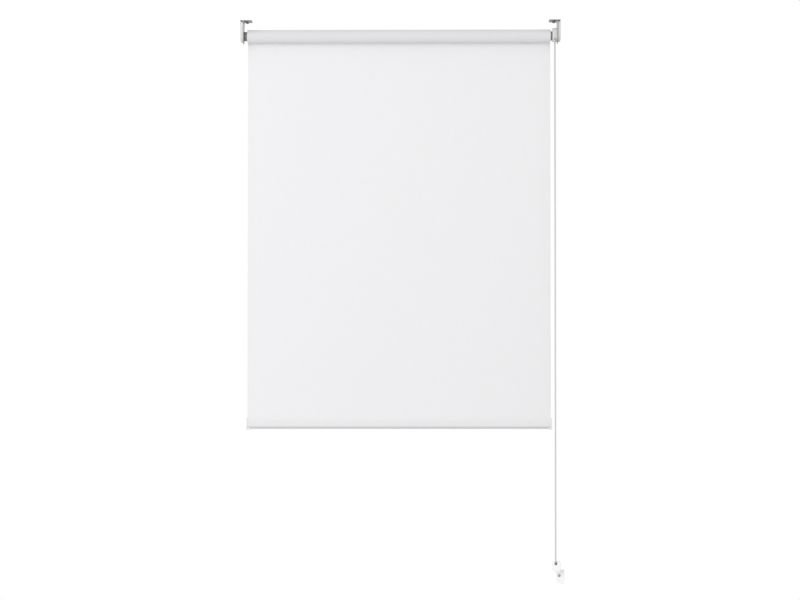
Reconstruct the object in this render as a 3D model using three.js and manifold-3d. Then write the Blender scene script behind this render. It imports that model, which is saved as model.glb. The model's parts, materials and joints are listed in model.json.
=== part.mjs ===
// A ceiling-mounted roller blind with a bead-chain drive, its fabric partly lowered.
// Units are millimetres. +X runs along the roller to the chain side, +Y points to the wall
// behind the blind and +Z is up. The origin is on the ceiling plane, over the roller's middle.
import * as THREE from "three";
import { mergeVertices } from "three/addons/utils/BufferGeometryUtils.js";
import Module from "manifold-3d";

const wasm = await Module();
wasm.setup();

// Driving dimensions
const GAP = 0.3; // clearance between neighbouring pieces
const FABRIC_WIDTH = 800;
const FABRIC_THICKNESS = 0.5;
const AXIS_DROP = 41; // ceiling to roller axis
const BAR_DROP = 1038; // roller axis to the lowest point of the bottom bar
const WALL_Y = 27; // roller axis to the wall
const ROLL_RADIUS = 16.8;
const TUBE_RADIUS = 12.5;
const TUBE_WALL = 1;

const BEAD_DIAMETER = 4.5;
const BEAD_PITCH = 6;
const LOOP_BEADS = 475;
const WHEEL_POCKETS = 12;
const PULLEY_POCKETS = 6;

const FLANGE_WIDTH = 30;
const FLANGE_HALF_DEPTH = 21;
const STEEL = 2; // thickness of the bracket's sheet
const COVER_DEPTH = 6.6;
const COVER_HALF_WIDTH = 18;
const COVER_BOTTOM = -57;
const CEILING_SCREW_Y = 12;
const CEILING_SCREW_INSET = 17; // from the flange's outer edge

const BAR_HEIGHT = 26;
const BAR_THICKNESS = 8;
const BAR_WALL = 1.2;
const POCKET_WALL = 0.6;
const WELD_TOP = 37; // top of the hem's weld over the bar's lowest point
const CAP_FLANGE = 3;
const CAP_PROUD = 2.2; // how far the end cap's flange stands outside the bar
const CAP_LIP = 8;

const GUARD_RADIUS = 16.2;
const GUARD_TOP = 20; // top of the chain guard over the roller axis
const GUARD_WALL = 1.6;
const GUARD_PLATE = 1.1; // thickness of the guard's flat ends
const WHEEL_HALF_WIDTH = 3.9;
const WHEEL_ROOM = 0.5; // between the wheel and the guard's outer end
const SHOULDER_RADIUS = 13;
const COLLAR_RADIUS = 12;
const PIN_RADIUS = 3;
const PIN_TRAVEL = 6;

const TENSIONER_LEFT = 7.9; // from the pulley's middle, short enough to let the hem pass
const TENSIONER_RIGHT = 13;
const TENSIONER_HEIGHT = 26;
const TENSIONER_DEPTH = 28;
const TAB_INSET = 2.6; // from the pulley's middle to the tab's near edge
const TAB_WIDTH = 20.5;
const TAB_HEIGHT = 32; // how far the tab hangs below the tensioner's cover
const TAB_OVERLAP = 5;
const TENSIONER_PLATE = 3;

// Places that follow from them
const HALF = FABRIC_WIDTH / 2;
const AXIS_Z = -AXIS_DROP;
const LOWEST_BAR_Z = -(AXIS_DROP + BAR_DROP);
const FABRIC_Y = ROLL_RADIUS + GAP + FABRIC_THICKNESS / 2;
const BEAD_RADIUS = BEAD_DIAMETER / 2;
const WHEEL_RADIUS = (WHEEL_POCKETS * BEAD_PITCH) / (2 * Math.PI);
const PULLEY_RADIUS = (PULLEY_POCKETS * BEAD_PITCH) / (2 * Math.PI);
const SHOULDER_END = HALF + 1.4; // white shoulder that closes each end of the roller
const COLLAR_START = SHOULDER_END + GAP;
const LEFT_ARM_X = HALF + 9.7; // inner face of the left bracket's arm
const RIGHT_ARM_X = HALF + 17.6; // inner face of the right bracket's arm
const GUARD_START = HALF + 5;
const GUARD_END = RIGHT_ARM_X - GAP;
const CHAIN_X = GUARD_END - GUARD_PLATE - WHEEL_ROOM - WHEEL_HALF_WIDTH;
const BAR_CENTRE_Z = LOWEST_BAR_Z + CAP_PROUD + BAR_HEIGHT / 2;
const PULLEY_Y = WALL_Y - TENSIONER_DEPTH / 2;
const PULLEY_Z = AXIS_Z - pulleyDrop();

const MATERIALS = {
  bracketSteel: material(0x8d8f90, 0.45, 0.85),
  whitePlastic: material(0xe9e8e4, 0.4, 0),
  greyPlastic: material(0x4b4d4e, 0.5, 0),
  fabric: material(0xefeeef, 0.9, 0),
  aluminium: material(0xc4c6c8, 0.4, 0.9),
  springSteel: material(0x7e8184, 0.3, 0.95),
  screwSteel: material(0x3c3d3e, 0.4, 0.8),
  chain: material(0xd9d9d6, 0.35, 0),
  tape: material(0xd8cfa6, 0.7, 0),
};

function material(color, roughness, metalness) {
  return new THREE.MeshStandardMaterial({ color, roughness, metalness });
}

// How far the pulley's axle hangs under the roller axis for the loop to close on whole beads.
function pulleyDrop() {
  const loop = LOOP_BEADS * BEAD_PITCH;
  const difference = WHEEL_RADIUS - PULLEY_RADIUS;
  let distance = loop / 2;
  for (let pass = 0; pass < 4; pass += 1) {
    const lean = Math.asin(difference / distance);
    const wrapped = WHEEL_RADIUS * (Math.PI + 2 * lean) + PULLEY_RADIUS * (Math.PI - 2 * lean);
    distance = Math.hypot((loop - wrapped) / 2, difference);
  }
  return Math.sqrt(distance ** 2 - PULLEY_Y ** 2);
}

// A closed geometry as a manifold-3d solid, for cutting and joining.
function solid(geometry) {
  const bare = geometry.clone();
  bare.deleteAttribute("normal");
  bare.deleteAttribute("uv");
  const merged = mergeVertices(bare, 1e-4);
  const vertProperties = merged.attributes.position.array;
  const triVerts = new Uint32Array(merged.index.array);
  return new wasm.Manifold(new wasm.Mesh({ numProp: 3, vertProperties, triVerts }));
}

function geometryOf(shape) {
  const { vertProperties, triVerts } = shape.getMesh();
  const geometry = new THREE.BufferGeometry();
  geometry.setAttribute("position", new THREE.BufferAttribute(vertProperties, 3));
  geometry.setIndex(new THREE.BufferAttribute(triVerts, 1));
  const faceted = geometry.toNonIndexed();
  faceted.computeVertexNormals();
  return faceted;
}

function join(first, ...others) {
  return geometryOf(others.reduce((whole, part) => whole.add(solid(part)), solid(first)));
}

function cut(first, ...others) {
  return geometryOf(others.reduce((whole, part) => whole.subtract(solid(part)), solid(first)));
}

function mesh(name, geometry, paint) {
  const piece = new THREE.Mesh(geometry, paint);
  piece.name = name;
  return piece;
}

function group(x, y, z, ...children) {
  const holder = new THREE.Group();
  holder.position.set(x, y, z);
  holder.add(...children);
  return holder;
}

// A solid of revolution about the X axis. The profile is a list of [x, radius].
function turned(profile, segments = 32) {
  const points = profile.map(([x, radius]) => new THREE.Vector2(radius, x));
  if (THREE.ShapeUtils.isClockWise(points)) points.reverse();
  if (points[0].x > 0) points.push(points[0].clone());
  return new THREE.LatheGeometry(points, segments).rotateZ(-Math.PI / 2);
}

// A ring about the X axis.
function ring(outer, inner, from, to, segments = 32) {
  return turned([[from, inner], [from, outer], [to, outer], [to, inner]], segments);
}

// A round bar about the X axis.
function rod(radius, from, to, segments = 24) {
  return turned([[from, 0], [from, radius], [to, radius], [to, 0]], segments);
}

function box(x, y, z) {
  const [width, depth, height] = [x, y, z].map(([low, high]) => high - low);
  const [midX, midY, midZ] = [x, y, z].map(([low, high]) => (low + high) / 2);
  return new THREE.BoxGeometry(width, depth, height).translate(midX, midY, midZ);
}

// An outline in the YZ plane, drawn out along X.
function alongX(shape, from, to, options = {}) {
  const axes = new THREE.Matrix4().makeBasis(
    new THREE.Vector3(0, 1, 0),
    new THREE.Vector3(0, 0, 1),
    new THREE.Vector3(1, 0, 0),
  );
  const settings = { depth: to - from, bevelEnabled: false, curveSegments: 6, ...options };
  return new THREE.ExtrudeGeometry(shape, settings).applyMatrix4(axes).translate(from, 0, 0);
}

// An outline in the XZ plane, drawn out along Y.
function alongY(shape, from, to, options = {}) {
  const settings = { depth: to - from, bevelEnabled: false, curveSegments: 3, ...options };
  return new THREE.ExtrudeGeometry(shape, settings).rotateX(Math.PI / 2).translate(0, to, 0);
}

function roundedRectangle(left, bottom, right, top, radius) {
  const shape = new THREE.Shape();
  shape.moveTo(left + radius, bottom);
  shape.lineTo(right - radius, bottom);
  shape.absarc(right - radius, bottom + radius, radius, -Math.PI / 2, 0);
  shape.absarc(right - radius, top - radius, radius, 0, Math.PI / 2);
  shape.absarc(left + radius, top - radius, radius, Math.PI / 2, Math.PI);
  shape.absarc(left + radius, bottom + radius, radius, Math.PI, 1.5 * Math.PI);
  return shape;
}

// The bar's upright oval outline, grown outwards by `grow`.
function oval(grow) {
  const radius = BAR_THICKNESS / 2 + grow;
  const straight = (BAR_HEIGHT - BAR_THICKNESS) / 2;
  const shape = new THREE.Shape();
  shape.absarc(0, straight, radius, 0, Math.PI);
  shape.absarc(0, -straight, radius, Math.PI, 2 * Math.PI);
  return shape;
}

// A straight-sided outline with a half-round lower end about its origin.
function tongue(radius, top, cornerRadius) {
  const shape = new THREE.Shape();
  shape.absarc(0, 0, radius, Math.PI, 2 * Math.PI);
  shape.lineTo(radius, top - cornerRadius);
  shape.absarc(radius - cornerRadius, top - cornerRadius, cornerRadius, 0, Math.PI / 2);
  shape.absarc(cornerRadius - radius, top - cornerRadius, cornerRadius, Math.PI / 2, Math.PI);
  return shape;
}

class Helix extends THREE.Curve {
  constructor(radius, length, turns) {
    super();
    Object.assign(this, { radius, length, turns });
  }

  getPoint(t) {
    const angle = 2 * Math.PI * this.turns * t;
    return new THREE.Vector3(
      this.length * t,
      this.radius * Math.cos(angle),
      this.radius * Math.sin(angle),
    );
  }
}

class Arc extends THREE.Curve {
  constructor(radius, start, end) {
    super();
    Object.assign(this, { radius, start, end });
  }

  getPoint(t) {
    const angle = this.start + (this.end - this.start) * t;
    return new THREE.Vector3(0, this.radius * Math.cos(angle), this.radius * Math.sin(angle));
  }
}

// A round section swept along a curve.
function swept(curve, radius, sides, steps) {
  const section = new THREE.Shape();
  for (let side = 0; side < sides; side += 1) {
    const angle = (2 * Math.PI * side) / sides;
    const move = side === 0 ? "moveTo" : "lineTo";
    section[move](radius * Math.cos(angle), radius * Math.sin(angle));
  }
  return new THREE.ExtrudeGeometry(section, { steps, extrudePath: curve, bevelEnabled: false });
}

function coilSpring(from, to, radius, wire, turns) {
  const stepsPerTurn = 10;
  const curve = new Helix(radius, to - from, turns);
  return swept(curve, wire / 2, 5, turns * stepsPerTurn).translate(from, 0, 0);
}

// A pan-head screw on the X axis. Its head is at x = 0, its shank runs to x = `length`.
function panScrew(headRadius, headHeight, shankRadius, length) {
  const head = [
    [-headHeight, 0],
    [-headHeight, headRadius * 0.55],
    [-headHeight * 0.75, headRadius * 0.85],
    [-headHeight * 0.3, headRadius],
    [0, headRadius],
    [0, shankRadius],
    [length, shankRadius],
    [length, 0],
  ];
  const slotLength = headRadius * 0.62;
  const slotWidth = headRadius * 0.14;
  const slotX = [-headHeight - 1, -headHeight * 0.45];
  return cut(
    turned(head, 16),
    box(slotX, [-slotLength, slotLength], [-slotWidth, slotWidth]),
    box(slotX, [-slotWidth, slotWidth], [-slotLength, slotLength]),
  );
}

// Brackets: a pressed sheet with a slotted flange at the ceiling and a round-ended arm.
function bracket(name, side, armX, armHole) {
  const outerX = armX + STEEL + GAP + COVER_DEPTH;
  const flangeOutline = roundedRectangle(
    outerX - FLANGE_WIDTH, -FLANGE_HALF_DEPTH, outerX, FLANGE_HALF_DEPTH, 2.5,
  );
  const flangeSettings = { depth: STEEL, bevelEnabled: false, curveSegments: 4 };
  const flange = new THREE.ExtrudeGeometry(flangeOutline, flangeSettings).translate(0, 0, -STEEL);
  const armOutline = tongue(FLANGE_HALF_DEPTH, AXIS_DROP - STEEL / 2, 0.5);
  const arm = alongX(armOutline, armX, armX + STEEL, { curveSegments: 10 }).translate(0, 0, AXIS_Z);
  const slots = [-CEILING_SCREW_Y, CEILING_SCREW_Y].map((y) => {
    const x = outerX - CEILING_SCREW_INSET;
    const outline = roundedRectangle(x - 4.5, y - 2.4, x + 4.5, y + 2.4, 2.3);
    return new THREE.ExtrudeGeometry(outline, { ...flangeSettings, depth: 8 }).translate(0, 0, -4);
  });
  const clipHoles = [-10, 10].map((y) => box([armX - 1, armX + 4], [y - 2.6, y + 2.6], [-14, -11]));
  const shape = cut(join(flange, arm), ...slots, ...clipHoles, armHole);
  return mesh(name, side < 0 ? mirrored(shape) : shape, MATERIALS.bracketSteel);
}

// The same piece for the left side, with its faces turned to point out again.
function mirrored(geometry) {
  return geometryOf(solid(geometry).mirror([1, 0, 0]));
}

// A snap-on shell over the arm's outer face, with a rounded rim and two clips.
function bracketCover(name, side, armX) {
  const rounding = 4;
  const faceX = armX + STEEL + GAP;
  const centreZ = COVER_BOTTOM + COVER_HALF_WIDTH;
  const top = -STEEL - GAP - centreZ;
  const core = tongue(COVER_HALF_WIDTH - rounding, top - rounding, 2);
  const bevel = {
    bevelEnabled: true, bevelSize: rounding, bevelThickness: rounding, bevelSegments: 3, curveSegments: 4,
  };
  const block = alongX(core, faceX - rounding, faceX + COVER_DEPTH - rounding, bevel);
  const wall = 1.6;
  const hollow = tongue(COVER_HALF_WIDTH - rounding - wall, top - rounding - wall, 1.2);
  const hollowSettings = { ...bevel, bevelSegments: 2, curveSegments: 3 };
  const inside = alongX(
    hollow, faceX - rounding - 2, faceX + COVER_DEPTH - rounding - wall, hollowSettings,
  );
  const behind = box([faceX - 20, faceX], [-50, 50], [-80, 80]);
  const clipZ = [-13.6 - centreZ, -12 - centreZ];
  const clips = [-10, 10].map((y) =>
    box([armX - 0.8, faceX + COVER_DEPTH - 1], [y - 2.2, y + 2.2], clipZ),
  );
  const shape = join(cut(block, inside, behind), ...clips).translate(0, 0, centreZ);
  return mesh(name, side < 0 ? mirrored(shape) : shape, MATERIALS.whitePlastic);
}

// Screws whose heads clamp the flange. They end at the ceiling plane.
function ceilingScrews(name, side, armX) {
  const x = side * (armX + STEEL + GAP + COVER_DEPTH - CEILING_SCREW_INSET);
  return [["front", -CEILING_SCREW_Y], ["rear", CEILING_SCREW_Y]].map(([place, y]) => {
    const shape = panScrew(4, 3, 1.9, STEEL + GAP - 0.1).rotateY(-Math.PI / 2);
    const screw = mesh(`${name}_ceiling_screw_${place}`, shape, MATERIALS.screwSteel);
    return group(x, y, -STEEL - GAP, screw);
  });
}

// Left end of the roller: a plug in the tube carries a sprung pin that rests in a fixed socket.
function idleSocket() {
  const profile = [
    [-LEFT_ARM_X - 4.6, 0],
    [-LEFT_ARM_X - 4.6, 5.7],
    [GAP - LEFT_ARM_X, 5.7],
    [GAP - LEFT_ARM_X, COLLAR_RADIUS],
    [-COLLAR_START - 0.8, COLLAR_RADIUS],
    [-COLLAR_START, COLLAR_RADIUS - 0.8],
    [-COLLAR_START, PIN_RADIUS + 0.4],
    [-COLLAR_START - PIN_TRAVEL, PIN_RADIUS + 0.4],
    [-COLLAR_START - PIN_TRAVEL, 0],
  ];
  return mesh("idle_socket", turned(profile, 32), MATERIALS.greyPlastic);
}

function socketClip() {
  const from = -LEFT_ARM_X - STEEL - GAP - 1;
  return mesh("idle_socket_clip", ring(8.8, 6, from, from + 1, 24), MATERIALS.springSteel);
}

function idleEndPlug() {
  const profile = [
    [-SHOULDER_END, PIN_RADIUS + 0.4],
    [-SHOULDER_END, SHOULDER_RADIUS - 0.8],
    [0.8 - SHOULDER_END, SHOULDER_RADIUS],
    [-HALF - GAP, SHOULDER_RADIUS],
    [-HALF - GAP, TUBE_RADIUS - TUBE_WALL - GAP],
    [38 - HALF, TUBE_RADIUS - TUBE_WALL - GAP],
    [38 - HALF, 5.6],
    [-HALF, 5.6],
    [-HALF, PIN_RADIUS + 0.4],
  ];
  return mesh("idle_end_plug", turned(profile, 30), MATERIALS.whitePlastic);
}

function idlePin() {
  const tip = -COLLAR_START - PIN_TRAVEL + GAP;
  const profile = [
    [tip, 0],
    [tip, PIN_RADIUS - 0.8],
    [tip + 0.8, PIN_RADIUS],
    [-HALF + GAP, PIN_RADIUS],
    [-HALF + GAP, 5.2],
    [-HALF + GAP + 2, 5.2],
    [-HALF + GAP + 2, PIN_RADIUS],
    [16 - HALF, PIN_RADIUS],
    [16 - HALF, 0],
  ];
  return mesh("idle_pin", turned(profile, 20), MATERIALS.springSteel);
}

function pinSpring() {
  const shape = coilSpring(3.2 - HALF, 31.6 - HALF, 4.3, 0.9, 6);
  return mesh("pin_spring", shape, MATERIALS.springSteel);
}

function springSeat() {
  return mesh("spring_seat", rod(5.3, 32.6 - HALF, 36 - HALF, 20), MATERIALS.greyPlastic);
}

// The tube with its wound fabric, and the tape that holds the fabric's first edge.
function rollerTube() {
  const shape = ring(TUBE_RADIUS, TUBE_RADIUS - TUBE_WALL, -HALF, HALF, 40);
  return mesh("roller_tube", shape, MATERIALS.aluminium);
}

function fabricRoll() {
  const shape = ring(ROLL_RADIUS, TUBE_RADIUS + GAP, -HALF, HALF, 48);
  return mesh("fabric_roll", shape, MATERIALS.fabric);
}

function fabricTape() {
  const halfAngle = 0.32;
  const outline = new THREE.Shape();
  outline.absarc(0, 0, TUBE_RADIUS + 0.22, -halfAngle, halfAngle);
  outline.absarc(0, 0, TUBE_RADIUS + 0.06, halfAngle, -halfAngle, true);
  const shape = alongX(outline, 5 - HALF, HALF - 5, { curveSegments: 4 });
  return mesh("fabric_tape", shape, MATERIALS.tape);
}

// Right end of the roller: the chain turns a wheel round a fixed core, and wrap springs
// on the core pass the turn on to the hub that drives the tube.
function driveHub() {
  const profile = [
    [HALF - 42, 7.9],
    [HALF - 42, TUBE_RADIUS - TUBE_WALL - GAP],
    [HALF + GAP, TUBE_RADIUS - TUBE_WALL - GAP],
    [HALF + GAP, SHOULDER_RADIUS],
    [SHOULDER_END - 0.8, SHOULDER_RADIUS],
    [SHOULDER_END, SHOULDER_RADIUS - 0.8],
    [SHOULDER_END, 9],
    [HALF - 8.5, 9],
    [HALF - 8.5, 7.9],
  ];
  return mesh("drive_hub", turned(profile, 30), MATERIALS.whitePlastic);
}

function driveCollar() {
  const shape = ring(COLLAR_RADIUS, 9, COLLAR_START, GUARD_START - GAP, 32);
  return mesh("drive_collar", shape, MATERIALS.greyPlastic);
}

function chainWheel() {
  const grooveHalf = BEAD_RADIUS + GAP;
  const rimHalf = WHEEL_HALF_WIDTH;
  const rimRadius = WHEEL_RADIUS + 1.7;
  const floorApothem = WHEEL_RADIUS - BEAD_RADIUS - 0.6;
  const pocketAngle = (2 * Math.PI) / WHEEL_POCKETS;
  const floor = rod(floorApothem / Math.cos(pocketAngle / 2), -rimHalf, rimHalf, WHEEL_POCKETS);
  const shape = cut(
    join(
      floor.rotateX(pocketAngle / 2),
      rod(rimRadius, -rimHalf, -grooveHalf, 36),
      rod(rimRadius, grooveHalf, rimHalf, 36),
      rod(8.6, HALF - 8 - CHAIN_X, 0, 32),
    ),
    rod(5.9, -40, 40, 28),
  );
  return mesh("chain_wheel", shape.translate(CHAIN_X, 0, 0), MATERIALS.whitePlastic);
}

function wrapSprings() {
  return [["inner", 25], ["outer", 16.5]].map(([name, inset]) => {
    const shape = coilSpring(HALF - inset, HALF - inset + 6.5, 6.75, 1.1, 4);
    return mesh(`wrap_spring_${name}`, shape, MATERIALS.springSteel);
  });
}

function clutchCore() {
  const keyHalf = 4;
  const shape = cut(
    join(
      rod(5.5, HALF - 26, GUARD_END, 28),
      box([GUARD_END - 1, RIGHT_ARM_X + STEEL + 1.4], [-keyHalf, keyHalf], [-keyHalf, keyHalf]),
    ),
    rod(2.4, HALF + 4, HALF + 40, 16),
  );
  return mesh("clutch_core", shape, MATERIALS.greyPlastic);
}

function clutchScrew() {
  const shape = panScrew(4.5, 2.4, 2, 14).rotateZ(Math.PI);
  return group(RIGHT_ARM_X + STEEL + 1.7, 0, 0, mesh("clutch_screw", shape, MATERIALS.screwSteel));
}

// The chain guard: two shells round the wheel, open below where the chain leaves.
function chainGuard() {
  const outside = tongue(GUARD_RADIUS, GUARD_TOP, 9);
  const inside = tongue(GUARD_RADIUS - GUARD_WALL, GUARD_TOP - GUARD_WALL, 7.5);
  const middle = [CHAIN_X - GAP / 2, CHAIN_X + GAP / 2];
  const guardInside = [GUARD_START + GUARD_PLATE, GUARD_END - GUARD_PLATE];
  const exitHalf = BEAD_RADIUS + 0.5;
  const exits = [-WHEEL_RADIUS, WHEEL_RADIUS].map((y) =>
    box(guardInside, [y - exitHalf, y + exitHalf], [-20, -3]),
  );
  const inner = cut(
    alongX(outside, GUARD_START, middle[0]),
    alongX(inside, guardInside[0], middle[0] + 1),
    rod(9, GUARD_START - 1, GUARD_START + 3, 32),
    ...exits,
  );
  const outer = cut(
    alongX(outside, middle[1], GUARD_END),
    alongX(inside, middle[1] - 1, guardInside[1]),
    rod(5.9, GUARD_END - 3, GUARD_END + 1, 28),
    ...exits,
  );
  return [
    mesh("chain_guard_inner", inner, MATERIALS.whitePlastic),
    mesh("chain_guard_outer", outer, MATERIALS.whitePlastic),
  ];
}

// The bead chain, as a tube of the beads' diameter. The stretches on the wheel and on the
// pulley turn with them, and the two strands hang between.
function chainPieces() {
  const offset = new THREE.Vector2(PULLEY_Y, PULLEY_Z - AXIS_Z);
  const lean = Math.asin((WHEEL_RADIUS - PULLEY_RADIUS) / offset.length());
  const down = offset.angle();
  const quarter = Math.PI / 2;
  const clearOfWheel = 11.5;
  const clearOfPulley = 8.5;
  const onWheel = new Arc(WHEEL_RADIUS, down + quarter - lean, down + 3 * quarter + lean);
  const onPulley = new Arc(PULLEY_RADIUS, down - quarter + lean, down + quarter - lean);
  const strands = [["front", down - quarter + lean], ["rear", down + quarter - lean]];
  const sides = 8;
  const strandMeshes = strands.map(([name, angle]) => {
    const reach = new THREE.Vector2(Math.cos(angle), Math.sin(angle));
    const top = reach.clone().multiplyScalar(WHEEL_RADIUS);
    const bottom = reach.clone().multiplyScalar(PULLEY_RADIUS).add(offset);
    const along = bottom.clone().sub(top).normalize();
    top.addScaledVector(along, clearOfWheel);
    bottom.addScaledVector(along, -clearOfPulley);
    const line = new THREE.LineCurve3(
      new THREE.Vector3(CHAIN_X, top.x, top.y),
      new THREE.Vector3(CHAIN_X, bottom.x, bottom.y),
    );
    return mesh(`chain_${name}_strand`, swept(line, BEAD_RADIUS, sides, 6), MATERIALS.chain);
  });
  const wheelArc = swept(onWheel, BEAD_RADIUS, sides, 12);
  const pulleyArc = swept(onPulley, BEAD_RADIUS, sides, 8);
  return [
    ...strandMeshes,
    group(CHAIN_X, 0, 0, mesh("chain_on_wheel", wheelArc, MATERIALS.chain)),
    group(CHAIN_X, offset.x, offset.y, mesh("chain_on_pulley", pulleyArc, MATERIALS.chain)),
  ];
}

// The chain's lower holder on the wall: a base with cheeks, a pulley on an axle and a cover.
function tensionerBase() {
  const plateBack = WALL_Y - PULLEY_Y;
  const plateFront = plateBack - TENSIONER_PLATE;
  const halfHeight = TENSIONER_HEIGHT / 2;
  const plate = roundedRectangle(-TENSIONER_LEFT, -halfHeight, TENSIONER_RIGHT, halfHeight, 3);
  const tab = roundedRectangle(
    TAB_INSET, -halfHeight - TAB_HEIGHT, TAB_INSET + TAB_WIDTH, TAB_OVERLAP - halfHeight, 4,
  );
  const cheeks = [-5, 5].map((x) => box([x - 1, x + 1], [-6, plateFront + 1], [-6, 6]));
  const shape = cut(
    join(alongY(plate, plateFront, plateBack), alongY(tab, plateFront, plateBack), ...cheeks),
    rod(1.7, -8, 8, 16),
    turnedAlongY(rod(2.3, plateFront - 1, plateBack + 1, 20), tensionerScrewPlace()),
  );
  return mesh("tensioner_base", shape, MATERIALS.whitePlastic);
}

function tensionerScrewPlace() {
  return [9.4, -TENSIONER_HEIGHT / 2 - 11];
}

// A piece made on the X axis, stood along Y at an [x, z] place.
function turnedAlongY(geometry, [x, z]) {
  return geometry.rotateZ(Math.PI / 2).translate(x, 0, z);
}

function tensionerCover() {
  const halfHeight = TENSIONER_HEIGHT / 2;
  const front = -TENSIONER_DEPTH / 2;
  const back = WALL_Y - PULLEY_Y - TENSIONER_PLATE - GAP;
  const wall = 1.5;
  const rounding = 1.5;
  const shrunk = (inset, corner) => roundedRectangle(
    inset - TENSIONER_LEFT, inset - halfHeight, TENSIONER_RIGHT - inset, halfHeight - inset, corner,
  );
  const bevel = { bevelEnabled: true, bevelSize: rounding, bevelThickness: rounding, bevelSegments: 2 };
  const block = alongY(shrunk(rounding, 2.5), front + rounding, back + rounding, bevel);
  const shape = cut(
    block,
    alongY(shrunk(wall, 2), front + wall, back + 5),
    box([-30, 30], [back, back + 10], [-30, 30]),
    box([-3.4, 3.4], [front - 1, back + 1], [halfHeight - 8, halfHeight + 1]),
  );
  return mesh("tensioner_cover", shape, MATERIALS.whitePlastic);
}

function tensionerPulley() {
  const grooveHalf = BEAD_RADIUS + GAP;
  const width = 3.7;
  const floor = PULLEY_RADIUS - BEAD_RADIUS - GAP;
  const rim = PULLEY_RADIUS + 1.5;
  const profile = [
    [-width, 1.75],
    [-width, rim],
    [-grooveHalf, rim],
    [-grooveHalf, floor],
    [grooveHalf, floor],
    [grooveHalf, rim],
    [width, rim],
    [width, 1.75],
  ];
  return mesh("tensioner_pulley", turned(profile, 28), MATERIALS.whitePlastic);
}

function tensionerAxle() {
  return mesh("tensioner_axle", rod(1.4, -6.1, 6.1, 16), MATERIALS.springSteel);
}

function tensionerScrew() {
  const plateFront = WALL_Y - PULLEY_Y - TENSIONER_PLATE;
  const shape = panScrew(3.8, 2.5, 1.9, TENSIONER_PLATE + GAP - 0.1);
  turnedAlongY(shape, tensionerScrewPlace()).translate(0, plateFront - GAP, 0);
  return mesh("tensioner_screw", shape, MATERIALS.screwSteel);
}

// The lowered fabric with the bar that weighs it down.
function hangingFabric() {
  const x = [-HALF, HALF];
  const y = [FABRIC_Y - FABRIC_THICKNESS / 2, FABRIC_Y + FABRIC_THICKNESS / 2];
  const shape = box(x, y, [LOWEST_BAR_Z + WELD_TOP + GAP, AXIS_Z]);
  return mesh("hanging_fabric", shape, MATERIALS.fabric);
}

function hemPocket() {
  const inside = GAP;
  const outside = GAP + POCKET_WALL;
  const weldHalf = POCKET_WALL;
  const weldTop = LOWEST_BAR_Z + WELD_TOP - BAR_CENTRE_Z;
  const weld = box([-HALF, HALF], [-weldHalf, weldHalf], [BAR_HEIGHT / 2 + inside + 0.2, weldTop]);
  const shape = cut(
    join(alongX(oval(outside), -HALF, HALF), weld),
    alongX(oval(inside), -HALF - 1, HALF + 1),
  );
  return mesh("hem_pocket", shape, MATERIALS.fabric);
}

function bottomBar() {
  const end = HALF - GAP;
  const shape = cut(alongX(oval(0), -end, end), alongX(oval(-BAR_WALL), -HALF, HALF));
  return mesh("bottom_bar", shape, MATERIALS.aluminium);
}

function barEndCap(name, side) {
  const start = HALF + GAP;
  const pocket = GAP + POCKET_WALL;
  const lipStart = HALF - CAP_LIP;
  const lip = cut(
    alongX(oval(CAP_PROUD), lipStart, start + 1),
    alongX(oval(pocket + GAP), lipStart - 1, start + 2),
    box([lipStart - 1, start + 2], [-20, 20], [-BAR_HEIGHT / 2 + 3, 30]),
  );
  const shape = join(
    alongX(oval(CAP_PROUD), start, start + CAP_FLANGE),
    alongX(oval(-BAR_WALL - GAP), start - 15, start + 1),
    lip,
  );
  return mesh(name, side < 0 ? mirrored(shape) : shape, MATERIALS.whitePlastic);
}

function squareHole(half) {
  return box([RIGHT_ARM_X - 1, RIGHT_ARM_X + 4], [-half, half], [AXIS_Z - half, AXIS_Z + half]);
}

function roundHole(radius) {
  return rod(radius, LEFT_ARM_X - 1, LEFT_ARM_X + 4, 28).translate(0, 0, AXIS_Z);
}

const ceilingFixings = [
  bracket("left_bracket", -1, LEFT_ARM_X, roundHole(6.1)),
  bracket("right_bracket", 1, RIGHT_ARM_X, squareHole(4.3)),
  bracketCover("left_bracket_cover", -1, LEFT_ARM_X),
  bracketCover("right_bracket_cover", 1, RIGHT_ARM_X),
  ...ceilingScrews("left", -1, LEFT_ARM_X),
  ...ceilingScrews("right", 1, RIGHT_ARM_X),
];

const onRollerAxis = group(
  0, 0, AXIS_Z,
  idleSocket(),
  socketClip(),
  idleEndPlug(),
  idlePin(),
  pinSpring(),
  springSeat(),
  rollerTube(),
  fabricRoll(),
  fabricTape(),
  driveHub(),
  driveCollar(),
  chainWheel(),
  ...wrapSprings(),
  clutchCore(),
  clutchScrew(),
  ...chainGuard(),
  ...chainPieces(),
);

const chainTensioner = group(
  CHAIN_X, PULLEY_Y, PULLEY_Z,
  tensionerBase(),
  tensionerCover(),
  tensionerPulley(),
  tensionerAxle(),
  tensionerScrew(),
);

const weightedHem = group(
  0, FABRIC_Y, BAR_CENTRE_Z,
  hemPocket(),
  bottomBar(),
  barEndCap("bar_end_cap_left", -1),
  barEndCap("bar_end_cap_right", 1),
);

const rollerBlind = new THREE.Group();
rollerBlind.add(...ceilingFixings, onRollerAxis, chainTensioner, hangingFabric(), weightedHem);

export default rollerBlind;
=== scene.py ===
"""A ceiling-mounted roller blind: the looks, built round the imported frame.

Shapes are made in millimetres in the frame's own axes, +X along the roller to the chain side, +Y to the
wall and +Z up, and each finished piece is scaled to metres.
"""

import json
import math

import bmesh
import bpy
from mathutils import Matrix, Vector


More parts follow.
